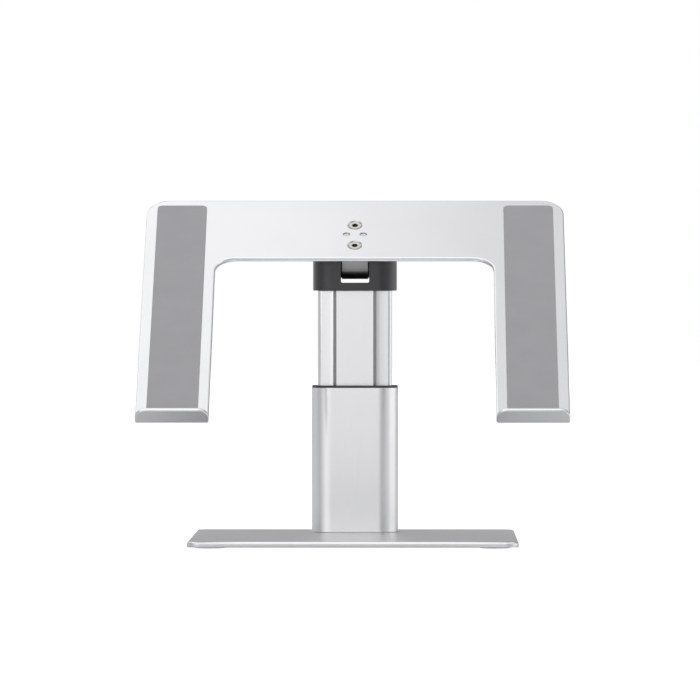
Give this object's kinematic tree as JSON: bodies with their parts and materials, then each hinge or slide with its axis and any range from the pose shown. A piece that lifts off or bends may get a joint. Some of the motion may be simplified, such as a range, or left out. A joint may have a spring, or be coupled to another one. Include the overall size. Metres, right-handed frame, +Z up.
{
  "type": "laptop stand",
  "caption": "Laptop stand with a tilting U-shaped tray with front lips and grip pads, carried by a mast that slides in a rounded column on a flat square base.",
  "frame": {"origin": "on the desk, under the middle of the stand's outline", "axes": "+X to the user's right, along the tray's width; +Y away from the user; +Z up"},
  "size_m": [0.262, 0.2183, 0.2121],
  "materials": {
    "satin_aluminium": "silver anodised, fine blasted satin",
    "dark_paint": "dark grey satin paint",
    "black_plastic": "moulded, matte",
    "grey_silicone": "soft matte grip pad",
    "foot_rubber": "matte",
    "brake_lining": "dense matte friction lining",
    "steel": "nickel plated, turned"
  },
  "bodies": {
    "base": {"base_plate": "satin_aluminium", "foot_front_left": "foot_rubber", "foot_front_right": "foot_rubber", "foot_rear_left": "foot_rubber", "foot_rear_right": "foot_rubber", "base_screws": "steel", "outer_column": "satin_aluminium", "column_collar": "black_plastic", "collar_screws": "steel"},
    "mast": {"inner_mast": "satin_aluminium", "mast_front_panel": "satin_aluminium", "guide_shoe": "black_plastic", "shoe_screws": "steel", "brake_pad_front": "brake_lining", "brake_pad_rear": "brake_lining", "brake_springs": "steel", "hinge_yoke": "dark_paint", "yoke_screws": "steel", "hinge_pin": "steel", "hinge_nut": "steel", "disc_springs": "steel", "pin_cap_left": "black_plastic", "pin_cap_right": "black_plastic", "friction_washer_left": "black_plastic", "friction_washer_right": "black_plastic"},
    "tray": {"tilt_arm": "satin_aluminium", "arm_dowels": "satin_aluminium", "tray_plate": "satin_aluminium", "tray_screws": "steel", "left_pad": "grey_silicone", "right_pad": "grey_silicone"}
  },
  "joints": [
    {"name": "mast_slide", "type": "slide", "parent": "base", "child": "mast", "axis": [0, 0, 1], "range_m": [-0.058, 0]},
    {"name": "tray_tilt", "type": "hinge", "parent": "mast", "child": "tray", "pos_m": [0, 0.0705, 0.1696], "axis": [1, 0, 0], "range_deg": [-35, 4]}
  ]
}
